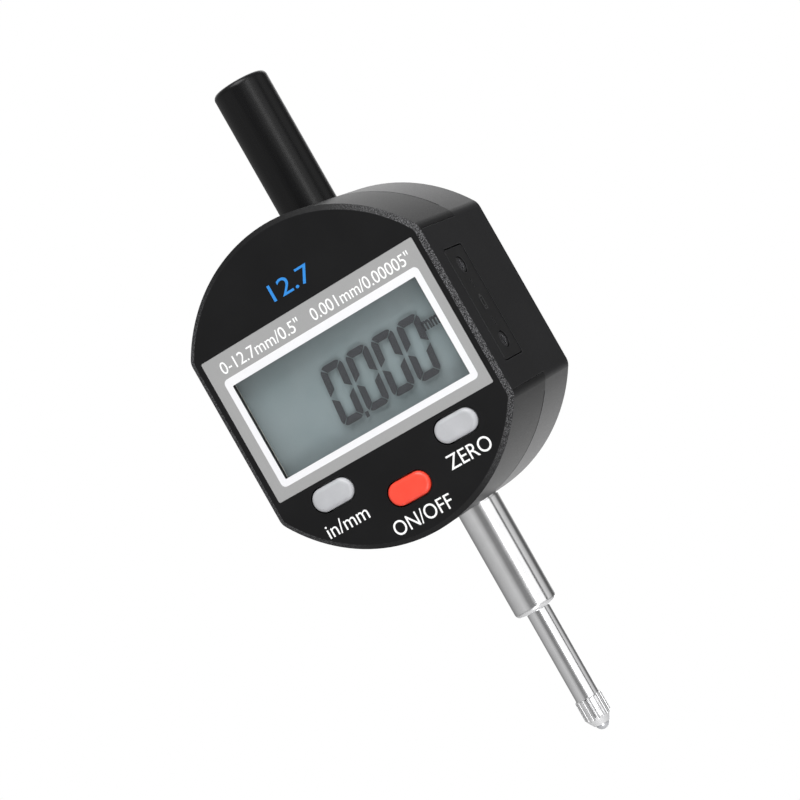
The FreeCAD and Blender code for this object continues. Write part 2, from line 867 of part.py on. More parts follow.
def make_flex_connector():
    half = connector_length / 2
    back = board_back_y + connector_depth
    return box(-half, half, board_back_y, back, connector_z, connector_top_z)


def make_flex_cable():
    # a flat ribbon: up the reader board's front, over in a half circle, down to the connector
    reader_line = reader_y - flex_thickness / 2
    bend = (reader_line - flex_board_y) / 2
    start_z = connector_z - flex_lap
    bend_z = connector_top_z + flex_rise
    half = flex_width / 2
    middle = (reader_line + flex_board_y) / 2
    outer = cyl_x(bend + flex_thickness / 2, -half, half, middle, bend_z)
    inner = cyl_x(bend - flex_thickness / 2, -half, half, middle, bend_z)
    reach = bend + flex_thickness
    upper = box(-half, half, middle - reach, middle + reach, bend_z, bend_z + reach)
    arch = outer.cut(inner).common(upper)
    reader_leg = box(
        -half, half, reader_line - flex_thickness / 2, reader_line + flex_thickness / 2,
        start_z, bend_z,
    )
    board_leg = box(
        -half, half, flex_board_y - flex_thickness / 2, flex_board_y + flex_thickness / 2,
        connector_top_z, bend_z,
    )
    return arch.fuse([reader_leg, board_leg]).removeSplitter()


def make_reader_board():
    board = box(
        -reader_left, reader_right, reader_y, reader_back_y,
        dial_z - reader_low, dial_z + reader_high,
    )
    for x, z in reader_posts:
        board = board.cut(
            cyl_y(small_screw_radius + housing_screw_gap, reader_y, reader_back_y, x, z)
        )
    return board


# ---------------------------------------------------------------- battery

def cover_block(grow, x0, x1):
    block = box(
        x0, x1, cell_y - cover_width / 2 - grow, cell_y + cover_width / 2 + grow,
        dial_z - cover_length / 2 - grow, dial_z + cover_length / 2 + grow,
    )
    return round_edges_along(block, V(1, 0, 0), cover_corner)


def make_battery_cover():
    cover = cover_block(0.0, cover_inner_x, cover_outer_x)
    for z in cover_screw_heights:
        hole = cover_screw_radius + housing_screw_gap
        recess = cover_head_radius + cover_head_gap
        cover = cover.cut(cyl_x(hole, cover_inner_x, cover_outer_x, cell_y, z))
        cover = cover.cut(cyl_x(recess, cover_screw_seat_x, cover_outer_x, cell_y, z))
    for side in (-1, 1):
        middle = dial_z + side * dash_offset
        cover = cover.cut(
            box(
                cover_outer_x - dash_depth, cover_outer_x,
                cell_y - dash_width / 2, cell_y + dash_width / 2,
                middle - dash_length / 2, middle + dash_length / 2,
            )
        )
    return cover


def make_battery_cover_seal():
    edge = cover_seal_edge
    seal = cover_block(-edge, side_outer, cover_inner_x)
    seal = seal.cut(
        box(
            side_outer, cover_inner_x, pocket_y - edge, pocket_back_y + edge,
            dial_z - pocket_half_z, dial_z + pocket_half_z,
        )
    )
    for z in cover_screw_heights:
        hole = cover_screw_radius + housing_screw_gap
        seal = seal.cut(cyl_x(hole, side_outer, cover_inner_x, cell_y, z))
    return seal


def make_battery_cover_screws():
    screws = []
    for z in cover_screw_heights:
        top_x = cover_screw_seat_x + cover_head_height
        head = cyl_x(cover_head_radius, cover_screw_seat_x, top_x, cell_y, z)
        shank = cyl_x(
            cover_screw_radius, cover_screw_seat_x - cover_screw_length, cover_screw_seat_x,
            cell_y, z,
        )
        depth = cover_head_height * cross_depth
        recess = cross_recess(cover_head_radius, depth, V(-1, 0, 0), V(top_x, cell_y, z))
        screws.append(head.fuse(shank).cut(recess).removeSplitter())
    return Part.makeCompound(screws)


def make_battery_cell():
    half = cell_thickness / 2
    return cyl_y(cell_radius, cell_y - half, cell_y + half, cell_x, dial_z)


def make_battery_holder():
    outer = box(
        pocket_left - holder_end, holder_right, pocket_y - holder_skin, pocket_back_y + holder_skin,
        dial_z - pocket_half_z - holder_side, dial_z + pocket_half_z + holder_side,
    )
    boss_half_z = cover_screw_spacing / 2 + cover_boss_half
    bosses = box(
        holder_right - cover_boss_length, holder_right,
        cell_y - cover_boss_half, cell_y + cover_boss_half,
        dial_z - boss_half_z, dial_z + boss_half_z,
    )
    body = outer.fuse(bosses)
    body = body.cut(
        box(
            pocket_left, holder_right, pocket_y, pocket_back_y,
            dial_z - pocket_half_z, dial_z + pocket_half_z,
        )
    )
    for z in cover_screw_heights:
        body = body.cut(
            cyl_x(
                cover_screw_radius + seat_gap, holder_right - cover_screw_length, holder_right,
                cell_y, z,
            )
        )
    # slots for the tails of the two contacts
    half = contact_width / 2
    for y in (pocket_y, board_back_y):
        body = body.cut(
            box(
                pocket_left - holder_end, pocket_left, y, y + contact_thickness,
                dial_z - half, dial_z + half,
            )
        )
    return body


def make_battery_contact_negative():
    half = contact_width / 2
    tail_x = pocket_left - holder_end - notch_gap - contact_lap
    strip = box(
        tail_x, cell_x + cell_radius / 2, pocket_y, pocket_y + contact_thickness,
        dial_z - half, dial_z + half,
    )
    front_of_cell = cell_y - cell_thickness / 2
    bump = cyl_y(contact_bump_radius, pocket_y, front_of_cell, cell_x, dial_z)
    return strip.fuse(bump).removeSplitter()


def make_battery_contact_positive():
    half = contact_width / 2
    tail_x = pocket_left - holder_end - notch_gap - contact_lap
    tail = box(
        tail_x, pocket_left, board_back_y, board_back_y + contact_thickness,
        dial_z - half, dial_z + half,
    )
    plate = box(
        pocket_left, pocket_left + contact_thickness, board_back_y, board_back_y + contact_width,
        dial_z - half, dial_z + half,
    )
    return tail.fuse(plate).removeSplitter()


# ---------------------------------------------------------------- stem, bushes, cap and stops

def make_stem():
    bare = cyl_z(stem_radius, stem_end_z, neck_z)
    rim = [edge for edge in bare.Edges if abs(edge.BoundBox.ZMax - stem_end_z) < 1e-6]
    bare = bare.makeFillet(stem_edge_round, rim)
    outer = bare.fuse(cyl_z(neck_radius, neck_z, stem_top_z))
    outer = outer.cut(cyl_z(spindle_radius + stem_mouth_gap, stem_end_z, wiper_z))
    return outer.cut(cyl_z(stem_bore, wiper_z, stem_top_z))


def make_stem_nut():
    z0 = lower_boss_z
    z1 = lower_boss_z + nut_thickness
    nut = tube_z(nut_radius, neck_radius + seat_gap, z0, z1)
    slots = [
        box(-nut_radius, nut_radius, -nut_slot / 2, nut_slot / 2, z1 - nut_thickness / 2, z1),
        box(-nut_slot / 2, nut_slot / 2, -nut_radius, nut_radius, z1 - nut_thickness / 2, z1),
    ]
    return nut.cut(slots[0]).cut(slots[1])


def make_top_cap():
    cap = cyl_z(cap_radius, cap_z, cap_top_z)
    rim = [edge for edge in cap.Edges if abs(edge.BoundBox.ZMin - cap_top_z) < 1e-6]
    cap = cap.makeFillet(cap_edge_round, rim)
    thread_top = upper_bush_top_z + cap_thread_extra
    cap = cap.cut(cyl_z(upper_bush_radius + seat_gap, cap_z, thread_top))
    return cap.cut(cyl_z(cap_radius - cap_wall, thread_top, cap_inner_top_z))


def make_upper_bush():
    sleeve = cyl_z(upper_bush_radius, upper_bush_z, upper_bush_top_z)
    flange = cyl_z(upper_bush_radius + upper_bush_flange, upper_bush_z, upper_boss_z)
    bore = cyl_z(spindle_radius + run_gap, upper_bush_z, upper_bush_top_z)
    return sleeve.fuse(flange).cut(bore).removeSplitter()


def make_stop_washer(z0):
    inner = spindle_radius + stop_washer_bore_gap
    return tube_z(inner + stop_washer_wall, inner, z0, z0 + stop_washer_thickness)


# ---------------------------------------------------------------- spindle and contact point

def make_spindle():
    rod = cyl_z(spindle_radius, spindle_end_z, spindle_top_z)
    rim = [edge for edge in rod.Edges if abs(edge.BoundBox.ZMin - spindle_top_z) < 1e-6]
    rod = rod.makeChamfer(spindle_edge, rim)
    hole_top = spindle_end_z + stud_length + stud_hole_extra
    return rod.cut(cyl_z(stud_radius + seat_gap, spindle_end_z, hole_top))


def make_contact_point():
    collar_z = spindle_end_z - collar_length
    nose_z = spindle_end_z - nose_length
    profile = [
        V(0, 0, spindle_end_z),
        V(collar_radius - collar_edge, 0, spindle_end_z),
        V(collar_radius, 0, spindle_end_z - collar_edge),
        V(collar_radius, 0, collar_z),
        V(nose_radius, 0, nose_z),
        V(0, 0, nose_z),
        V(0, 0, spindle_end_z),
    ]
    face = Part.Face(Part.makePolygon(profile))
    point = face.revolve(V(0, 0, 0), V(0, 0, 1), 360)
    for index in range(flute_count):
        angle = 2 * math.pi * index / flute_count
        x = collar_radius * math.cos(angle)
        y = collar_radius * math.sin(angle)
        point = point.cut(cyl_z(flute_radius, nose_z, spindle_end_z, x, y))
    point = point.cut(Part.makeSphere(ball_radius, V(0, 0, ball_z)))
    stud = cyl_z(stud_radius, spindle_end_z, spindle_end_z + stud_length)
    return point.fuse(stud).removeSplitter()


# ---------------------------------------------------------------- carriage, guide and spring

def make_carriage():
    web = box(
        -carriage_half, carriage_half, carriage_y, carriage_y + carriage_web,
        carriage_z, carriage_top_z,
    )
    lugs = []
    for middle in (lower_lug_z, upper_lug_z):
        lugs.append(
            box(
                -lug_half, lug_half, carriage_y, carriage_back_y,
                middle - lug_height / 2, middle + lug_height / 2,
            )
        )
    body = web.fuse(lugs)
    body = body.cut(cyl_z(spindle_radius + seat_gap, carriage_z, carriage_top_z))
    for middle in (lower_lug_z, upper_lug_z):
        hole = set_screw_radius + seat_gap
        body = body.cut(cyl_x(hole, spindle_radius, lug_half, 0.0, middle))
    pin_y = spindle_radius + guide_pin_start
    body = body.cut(
        cyl_y(guide_pin_radius + seat_gap, pin_y, carriage_back_y, 0.0, lower_lug_z)
    )
    pin_x = spindle_radius + moving_pin_start
    body = body.cut(
        cyl_x(moving_pin_radius + seat_gap, -lug_half, -pin_x, 0.0, upper_lug_z)
    )
    return body.removeSplitter()


def make_set_screws():
    screws = []
    for z in (lower_lug_z, upper_lug_z):
        x0 = spindle_radius + contact_gap
        x1 = x0 + set_screw_length
        screw = cyl_x(set_screw_radius, x0, x1, 0.0, z)
        slot = box(
            x1 - set_screw_length / 4, x1, -set_screw_radius, set_screw_radius,
            z - set_screw_radius / 5, z + set_screw_radius / 5,
        )
        screws.append(screw.cut(slot))
    return Part.makeCompound(screws)


def make_scale_strip():
    return box(-scale_half, scale_half, scale_y, carriage_y, carriage_z, carriage_top_z)


def make_guide_pin():
    start = spindle_radius + guide_pin_start
    return cyl_y(guide_pin_radius, start, back_inner_y - guide_pin_end_gap, 0.0, lower_lug_z)


def make_guide_rail():
    rail = box(-rail_half, rail_half, rail_y, back_inner_y, rail_z, rail_top_z)
    slot = box(
        -guide_slot_half, guide_slot_half, rail_y, back_inner_y, guide_slot_z, guide_slot_top_z
    )
    rail = rail.cut(slot)
    for z in rail_screw_heights:
        hole = rail_screw_radius + seat_gap
        head = rail_screw_head + seat_gap
        rail = rail.cut(cyl_y(hole, rail_y, back_inner_y, 0.0, z))
        rail = rail.cut(cyl_y(head, rail_y, rail_y + rail_screw_head_height, 0.0, z))
    return rail


def make_rail_screws():
    screws = []
    for z in rail_screw_heights:
        head = cyl_y(rail_screw_head, rail_y, rail_y + rail_screw_head_height, 0.0, z)
        shank = cyl_y(
            rail_screw_radius, rail_y, back_inner_y + rail_screw_bite - contact_gap, 0.0, z
        )
        depth = rail_screw_head_height * cross_depth
        recess = cross_recess(rail_screw_head, depth, V(0, 1, 0), V(0, rail_y, z))
        screws.append(head.fuse(shank).cut(recess).removeSplitter())
    return Part.makeCompound(screws)


def make_fixed_spring_pin():
    pin_end = back_inner_y + fixed_pin_bite - contact_gap
    return cyl_y(fixed_pin_radius, -fixed_pin_reach, pin_end, spring_x, fixed_pin_z)


def make_moving_spring_pin():
    start = -(spindle_radius + moving_pin_start)
    return cyl_x(moving_pin_radius, spring_x - moving_pin_reach, start, 0.0, upper_lug_z)


def wire_between(start, end):
    # a straight wire with a ball at each end, where it bends into its neighbour
    run = end.sub(start)
    wire = Part.makeCylinder(spring_wire, run.Length, start, run)
    balls = [Part.makeSphere(spring_wire * spring_bend, place) for place in (start, end)]
    return wire.fuse(balls)


def hook_ring(radius, centre, axis):
    # turned so that the ring's seam lies clear of the straight wire that meets it
    ring = Part.makeTorus(radius, spring_wire, centre, axis)
    ring.rotate(centre, axis, 135)
    return ring


def make_return_spring():
    lower_hook = fixed_pin_radius + spring_hook_gap + spring_wire
    upper_hook = moving_pin_radius + spring_hook_gap + spring_wire
    lower_top = fixed_pin_z + lower_hook
    upper_bottom = upper_lug_z - upper_hook
    coil_z = lower_top + spring_wire + spring_lead
    coil_top_z = upper_bottom - spring_wire - spring_lead
    helix = Part.makeHelix(spring_pitch, coil_top_z - coil_z, spring_radius)
    helix.translate(V(spring_x, 0, coil_z))
    start = helix.Edges[0].valueAt(helix.Edges[0].FirstParameter)
    direction = helix.Edges[0].tangentAt(helix.Edges[0].FirstParameter)
    section = Part.Wire(Part.makeCircle(spring_wire, start, direction))
    coil = Part.Wire(helix).makePipeShell([section], True, True)
    end = helix.Edges[-1].valueAt(helix.Edges[-1].LastParameter)
    lower_ring = hook_ring(lower_hook, V(spring_x, 0, fixed_pin_z), V(0, 1, 0))
    upper_ring = hook_ring(upper_hook, V(spring_x, 0, upper_lug_z), V(1, 0, 0))
    lower_lead = wire_between(V(spring_x, 0, lower_top), start)
    upper_lead = wire_between(V(spring_x, 0, upper_bottom), end)
    return coil.fuse([lower_ring, upper_ring, lower_lead, upper_lead])


# ---------------------------------------------------------------- all the pieces

pieces = {
    "front_cover": make_front_cover(),
    "rear_housing": make_rear_housing(),
    "housing_screws": make_housing_screws(),
    "housing_seal": seal_ring(),
    "display_lens": make_display_lens(),
    "lens_mask": make_lens_mask(),
    "lens_gasket": make_lens_gasket(),
    "lcd_front_glass": make_lcd_front_glass(),
    "lcd_rear_glass": make_lcd_rear_glass(),
    "lcd_reflector": make_lcd_reflector(),
    "lcd_holder": make_lcd_holder(),
    "contact_strips": make_contact_strips(),
    "keypad_membrane": make_keypad_membrane(),
    "main_board": make_main_board(),
    "main_board_screws": make_small_screws(board_boss_places, board_back_y, 1),
    "driver_chip": make_driver_chip(),
    "crystal": make_crystal(),
    "flex_connector": make_flex_connector(),
    "flex_cable": make_flex_cable(),
    "reader_board": make_reader_board(),
    "reader_board_screws": make_small_screws(reader_posts, reader_y, -1),
    "battery_cover": make_battery_cover(),
    "battery_cover_seal": make_battery_cover_seal(),
    "battery_cover_screws": make_battery_cover_screws(),
    "battery_cell": make_battery_cell(),
    "battery_holder": make_battery_holder(),
    "battery_contact_negative": make_battery_contact_negative(),
    "battery_contact_positive": make_battery_contact_positive(),
    "stem": make_stem(),
    "stem_nut": make_stem_nut(),
    "lower_bush": tube_z(
        stem_bore, spindle_radius + run_gap, lower_bush_z, lower_bush_z + lower_bush_length
    ),
    "wiper_seal": tube_z(stem_bore, spindle_radius + run_gap, wiper_z, lower_bush_z),
    "lower_stop_washer": make_stop_washer(stem_top_z),
    "upper_stop_washer": make_stop_washer(upper_stop_z),
    "upper_bush": make_upper_bush(),
    "cap_seal": tube_z(
        cap_radius - cap_seal_edge, upper_bush_radius + cap_seal_bore_gap, cap_seat_z, cap_z
    ),
    "top_cap": make_top_cap(),
    "spindle": make_spindle(),
    "contact_point": make_contact_point(),
    "contact_ball": Part.makeSphere(ball_radius, V(0, 0, ball_z)),
    "carriage": make_carriage(),
    "carriage_set_screws": make_set_screws(),
    "scale_strip": make_scale_strip(),
    "guide_pin": make_guide_pin(),
    "guide_rail": make_guide_rail(),
    "guide_rail_screws": make_rail_screws(),
    "fixed_spring_pin": make_fixed_spring_pin(),
    "moving_spring_pin": make_moving_spring_pin(),
    "return_spring": make_return_spring(),
}
for button, (button_x, button_z) in button_places.items():
    pieces["button_" + button] = make_button(button_x, button_z)
    pieces["dome_" + button] = make_dome(button_x, button_z)

for name, shape in pieces.items():
    shape.exportStep("parts/" + name + ".step")
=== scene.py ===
import json
import math

import bpy
from mathutils import Matrix, Vector


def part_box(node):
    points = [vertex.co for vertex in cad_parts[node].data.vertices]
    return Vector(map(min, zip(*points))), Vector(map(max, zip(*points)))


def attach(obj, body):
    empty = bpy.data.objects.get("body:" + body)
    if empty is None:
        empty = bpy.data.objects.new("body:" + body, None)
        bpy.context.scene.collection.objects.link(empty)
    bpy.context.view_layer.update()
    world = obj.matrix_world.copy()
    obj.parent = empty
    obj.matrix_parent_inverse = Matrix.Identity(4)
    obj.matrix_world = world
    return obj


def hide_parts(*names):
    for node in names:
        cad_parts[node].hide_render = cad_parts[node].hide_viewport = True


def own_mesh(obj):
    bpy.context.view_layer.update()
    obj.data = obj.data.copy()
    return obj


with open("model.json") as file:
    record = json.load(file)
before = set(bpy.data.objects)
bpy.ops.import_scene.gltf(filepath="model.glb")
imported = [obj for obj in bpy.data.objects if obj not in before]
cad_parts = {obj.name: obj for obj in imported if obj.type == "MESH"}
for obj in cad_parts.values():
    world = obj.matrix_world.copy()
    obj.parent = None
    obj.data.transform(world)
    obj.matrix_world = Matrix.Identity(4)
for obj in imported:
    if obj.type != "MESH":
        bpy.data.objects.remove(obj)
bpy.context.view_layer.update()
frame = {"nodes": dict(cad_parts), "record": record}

MM = 0.001
nodes = frame["nodes"]
scene = bpy.context.scene


# ---------------------------------------------------------------- places read from the frame

cover_low, cover_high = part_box("front_cover")
front_y = cover_low.y
dial = Vector((0.0, front_y, (cover_low.z + cover_high.z) / 2))
mask_low, mask_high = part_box("lens_mask")
glass_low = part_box("lcd_front_glass")[0]
hatch_low, hatch_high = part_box("battery_cover")
hatch_middle = (hatch_low + hatch_high) / 2
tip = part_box("contact_ball")[0]

INK = 0.02 * MM


# ---------------------------------------------------------------- colour and material helpers


def srgb(red, green, blue):
    """A display colour, 0 to 255, as the linear colour that a shader takes."""
    linear = []
    for value in (red, green, blue):
        share = value / 255
        if share <= 0.04045:
            linear.append(share / 12.92)
        else:
            linear.append(((share + 0.055) / 1.055) ** 2.4)
    return (linear[0], linear[1], linear[2], 1.0)


class Look:
    """A material in the making: one Principled shader and the textures that drive it."""

    def __init__(self, name, roughness=0.5, metallic=0.0, specular=0.5):
        self.material = bpy.data.materials.new(name)
        self.material.use_nodes = True
        self.tree = self.material.node_tree
        self.tree.nodes.clear()
        output = self.tree.nodes.new("ShaderNodeOutputMaterial")
        self.shader = self.tree.nodes.new("ShaderNodeBsdfPrincipled")
        self.link(self.shader.outputs["BSDF"], output.inputs["Surface"])
        self.shader.inputs["Roughness"].default_value = roughness
        self.shader.inputs["Metallic"].default_value = metallic
        self.shader.inputs["Specular IOR Level"].default_value = specular
        self.place = self.tree.nodes.new("ShaderNodeTexCoord").outputs["Object"]

    def link(self, source, target):
        """Joins one socket to another."""
        self.tree.links.new(source, target)

    def noise(self, size, detail=3.0, stretch=(1, 1, 1), rough=0.5):
        """Noise with grains of that size in millimetres, drawn out along an axis by stretch."""
        mapping = self.tree.nodes.new("ShaderNodeMapping")
        self.link(self.place, mapping.inputs["Vector"])
        for axis in range(3):
            mapping.inputs["Scale"].default_value[axis] = 1 / (size * MM * stretch[axis])
        node = self.tree.nodes.new("ShaderNodeTexNoise")
        node.inputs["Scale"].default_value = 1.0
        node.inputs["Detail"].default_value = detail
        node.inputs["Roughness"].default_value = rough
        self.link(mapping.outputs["Vector"], node.inputs["Vector"])
        return node.outputs["Fac"]

    def remap(self, source, from_low, from_high, to_low=0.0, to_high=1.0):
        """Stretches one range of a value onto another, held at its ends."""
        node = self.tree.nodes.new("ShaderNodeMapRange")
        node.inputs["From Min"].default_value = from_low
        node.inputs["From Max"].default_value = from_high
        node.inputs["To Min"].default_value = to_low
        node.inputs["To Max"].default_value = to_high
        self.link(source, node.inputs["Value"])
        return node.outputs["Result"]

    def maths(self, operation, first, second):
        """One sum on two values; each is a number or another socket."""
        node = self.tree.nodes.new("ShaderNodeMath")
        node.operation = operation
        for index, value in enumerate((first, second)):
            if isinstance(value, (int, float)):
                node.inputs[index].default_value = value
            else:
                self.link(value, node.inputs[index])
        return node.outputs["Value"]

    def blend(self, share, low, high):
        """A colour between low and high; each is a colour or another socket."""
        node = self.tree.nodes.new("ShaderNodeMix")
        node.data_type = "RGBA"
        self.link(share, node.inputs["Factor"])
        for name, value in (("A", low), ("B", high)):
            sockets = [s for s in node.inputs if s.name == name and s.type == "RGBA"]
            if isinstance(value, tuple):
                sockets[0].default_value = value
            else:
                self.link(value, sockets[0])
        return [s for s in node.outputs if s.type == "RGBA"][0]

    def colour(self, source):
        self.link(source, self.shader.inputs["Base Color"])

    def roughness(self, source):
        self.link(source, self.shader.inputs["Roughness"])

    def facing(self, axis):
        """How far the surface faces along one axis, 0 to 1, the same from any viewpoint."""
        geometry = self.tree.nodes.new("ShaderNodeNewGeometry")
        parts = self.tree.nodes.new("ShaderNodeSeparateXYZ")
        self.link(geometry.outputs["Normal"], parts.inputs["Vector"])
        node = self.tree.nodes.new("ShaderNodeMath")
        node.operation = "ABSOLUTE"
        self.link(parts.outputs[axis], node.inputs[0])
        return node.outputs["Value"]

    def edges(self, radius):
        """A normal that rounds the edges by radius in millimetres, and where those edges are; the
        materials paint the colour lighter there, partly as wear and partly as a painted edge
        highlight.
        """
        bevel = self.tree.nodes.new("ShaderNodeBevel")
        bevel.samples = 4
        bevel.inputs["Radius"].default_value = radius * MM
        geometry = self.tree.nodes.new("ShaderNodeNewGeometry")
        dot = self.tree.nodes.new("ShaderNodeVectorMath")
        dot.operation = "DOT_PRODUCT"
        self.link(bevel.outputs["Normal"], dot.inputs[0])
        self.link(geometry.outputs["Normal"], dot.inputs[1])
        # edge mask: partly wear, partly painted edge highlight
        wear_and_edge_highlight = self.remap(dot.outputs["Value"], 0.995, 0.8)
        return bevel.outputs["Normal"], wear_and_edge_highlight

    def bump(self, height, depth, normal=None, strength=1.0):
        """Raises the surface by height times depth in millimetres."""
        node = self.tree.nodes.new("ShaderNodeBump")
        node.inputs["Distance"].default_value = depth * MM
        node.inputs["Strength"].default_value = strength
        self.link(height, node.inputs["Height"])
        if normal is not None:
            self.link(normal, node.inputs["Normal"])
        self.link(node.outputs["Normal"], self.shader.inputs["Normal"])


def paint(names, material):
    """Gives CAD nodes their material."""
    for name in names:
        mesh = nodes[name].data
        mesh.materials.clear()
        mesh.materials.append(material)


# ---------------------------------------------------------------- plastics


def moulded_face():
    """Black moulding of the front cover: fine matt face, coarse grain on the chamfer, light grey
    specks on the side chamfers painted as sparkle (painted highlights), and edges lightened partly as
    wear and partly as painted edge highlight.
    """
    look = Look("black_face", specular=0.2)
    normal, wear_and_edge_highlight = look.edges(0.12)
    chamfer = look.maths(
        "MULTIPLY",
        look.remap(look.facing("Y"), 0.55, 0.75),
        look.remap(look.facing("Y"), 0.97, 0.9),
    )
    fine = look.noise(0.16, detail=4)
    coarse = look.noise(0.15, detail=2)
    cloud = look.noise(9.0, detail=2)
    plain = look.blend(look.remap(cloud, 0.35, 0.65), srgb(13, 13, 14), srgb(17, 17, 18))
    # painted sparkle: light grey specks on the chamfers that face the sides stand in for highlights
    side_chamfer_sparkle_mask = look.maths("MULTIPLY", chamfer, look.remap(look.facing("X"), 0.2, 0.45))
    painted_sparkle = look.blend(look.remap(coarse, 0.48, 0.6), srgb(16, 16, 17), srgb(104, 104, 106))
    body = look.blend(side_chamfer_sparkle_mask, plain, painted_sparkle)
    # edges painted lighter: partly wear, partly painted edge highlight
    look.colour(look.blend(look.maths("MULTIPLY", wear_and_edge_highlight, 0.5), body, srgb(58, 58, 60)))
    look.roughness(look.remap(fine, 0.3, 0.7, 0.42, 0.54))
    depth = look.maths("ADD", look.maths("MULTIPLY", chamfer, 4.0), 1.0)
    grain = look.maths("MULTIPLY", look.maths("ADD", fine, coarse), depth)
    look.bump(grain, 0.006, normal)
    return look.material


def moulded_housing():
    """Black satin moulding of the rear housing."""
    look = Look("black_housing", specular=0.35)
    normal, wear_and_edge_highlight = look.edges(0.15)
    fine = look.noise(0.15, detail=4)
    cloud = look.noise(12.0, detail=3)
    plain = look.blend(look.remap(cloud, 0.35, 0.65), srgb(13, 13, 15), srgb(18, 18, 20))
    # edges painted lighter: partly wear, partly painted edge highlight
    look.colour(look.blend(look.maths("MULTIPLY", wear_and_edge_highlight, 0.45), plain, srgb(66, 66, 68)))
    look.roughness(look.remap(fine, 0.3, 0.7, 0.36, 0.48))
    look.bump(fine, 0.006, normal)
    return look.material


def moulded_cap():
    """Black tube over the spindle, a little finer and glossier than the body."""
    look = Look("black_cap", specular=0.25)
    normal, wear_and_edge_highlight = look.edges(0.1)
    fine = look.noise(0.2, detail=4)
    streak = look.noise(0.5, detail=2, stretch=(1, 1, 14))
    plain = look.blend(look.remap(streak, 0.35, 0.65), srgb(7, 7, 8), srgb(11, 11, 12))
    # edges painted lighter: partly wear, partly painted edge highlight
    look.colour(look.blend(look.maths("MULTIPLY", wear_and_edge_highlight, 0.5), plain, srgb(58, 58, 60)))
    look.roughness(look.remap(fine, 0.3, 0.7, 0.24, 0.32))
    look.bump(fine, 0.008, normal)
    return look.material


def moulded_hatch():
    """Battery cover, the same black with a slightly smoother face."""
    look = Look("cover_black", specular=0.35)
    normal, wear_and_edge_highlight = look.edges(0.1)
    fine = look.noise(0.14, detail=4)
    cloud = look.noise(5.0, detail=2)
    plain = look.blend(look.remap(cloud, 0.35, 0.65), srgb(15, 15, 16), srgb(20, 20, 21))
    # edges painted lighter: partly wear, partly painted edge highlight
    look.colour(look.blend(look.maths("MULTIPLY", wear_and_edge_highlight, 0.6), plain, srgb(80, 80, 82)))
    look.roughness(look.remap(fine, 0.3, 0.7, 0.34, 0.44))
    look.bump(fine, 0.005, normal)
    return look.material


def plain_plastic(name, dark, light, low=0.35, high=0.5, grain=0.2, depth=0.004, edge=0.12):
    """A coloured moulding with faint clouding, fine grain and softened edges, painted paler along the
    edges, partly as wear and partly as a painted edge highlight.
    """
    look = Look(name)
    normal, wear_and_edge_highlight = look.edges(edge)
    fine = look.noise(grain, detail=4)
    cloud = look.noise(3.0, detail=3)
    plain = look.blend(look.remap(cloud, 0.3, 0.7), dark, light)
    # paler edge colour: partly wear, partly painted edge highlight
    edge_wear_and_highlight_colour = tuple(min(1.0, value * 1.12 + 0.015) for value in light[:3]) + (1.0,)
    look.colour(look.blend(look.maths("MULTIPLY", wear_and_edge_highlight, 0.6), plain, edge_wear_and_highlight_colour))
    look.roughness(look.remap(fine, 0.3, 0.7, low, high))
    look.bump(fine, depth, normal)
    return look.material


def rubber(name, dark, light):
    """Matt rubber with a dusty bloom."""
    look = Look(name, specular=0.3)
    fine = look.noise(0.12, detail=5)
    dust = look.noise(1.6, detail=4)
    look.colour(look.blend(look.remap(dust, 0.35, 0.7), dark, light))
    look.roughness(look.remap(fine, 0.3, 0.7, 0.62, 0.82))
    look.bump(fine, 0.008)
    return look.material


def board_resist():
    """Green solder resist over a faint weave."""
    look = Look("board_green", specular=0.5)
    weave = look.noise(0.3, detail=2, stretch=(4, 1, 1))
    weft = look.noise(0.3, detail=2, stretch=(1, 1, 4))
    both = look.maths("ADD", weave, weft)
    look.colour(look.blend(look.remap(both, 0.7, 1.3), srgb(8, 62, 34), srgb(18, 92, 52)))
    look.roughness(look.remap(both, 0.7, 1.3, 0.25, 0.4))
    look.bump(both, 0.006)
    return look.material


# ---------------------------------------------------------------- glass, print and display


def clear_sheet(name, dark, light, mirror, rough):
    """A thin clear sheet: light passes straight through, and it mirrors the room softly."""
    look = Look(name)
    clear = look.tree.nodes.new("ShaderNodeBsdfTransparent")
    film = look.noise(7.0, detail=2)
    look.link(look.blend(look.remap(film, 0.3, 0.7), dark, light), clear.inputs["Color"])
    gloss = look.tree.nodes.new("ShaderNodeBsdfGlossy")
    look.link(look.remap(film, 0.3, 0.7, rough, rough + 0.03), gloss.inputs["Roughness"])
    weight = look.tree.nodes.new("ShaderNodeLayerWeight")
    weight.inputs["Blend"].default_value = 0.5
    mix = look.tree.nodes.new("ShaderNodeMixShader")
    shine = look.remap(weight.outputs["Facing"], 0.4, 1.0, mirror, 8 * mirror)
    look.link(shine, mix.inputs["Fac"])
    look.link(clear.outputs["BSDF"], mix.inputs[1])
    look.link(gloss.outputs["BSDF"], mix.inputs[2])
    output = [n for n in look.tree.nodes if n.type == "OUTPUT_MATERIAL"][0]
    look.link(mix.outputs["Shader"], output.inputs["Surface"])
    look.tree.nodes.remove(look.shader)
    return look.material


def display_film():
    """Grey-green film bonded to the rear glass, with a fine sparkle and soft clouding."""
    look = Look("lcd_back", specular=0.3)
    sparkle = look.noise(0.1, detail=3)
    cloud = look.noise(16.0, detail=1)
    plain = look.blend(look.remap(cloud, 0.3, 0.7), srgb(128, 139, 141), srgb(136, 147, 150))
    fine = look.remap(sparkle, 0.3, 0.7, 0.0, 0.35)
    look.colour(look.blend(fine, plain, srgb(142, 151, 154)))
    look.roughness(look.remap(sparkle, 0.3, 0.7, 0.5, 0.65))
    look.bump(sparkle, 0.002)
    return look.material


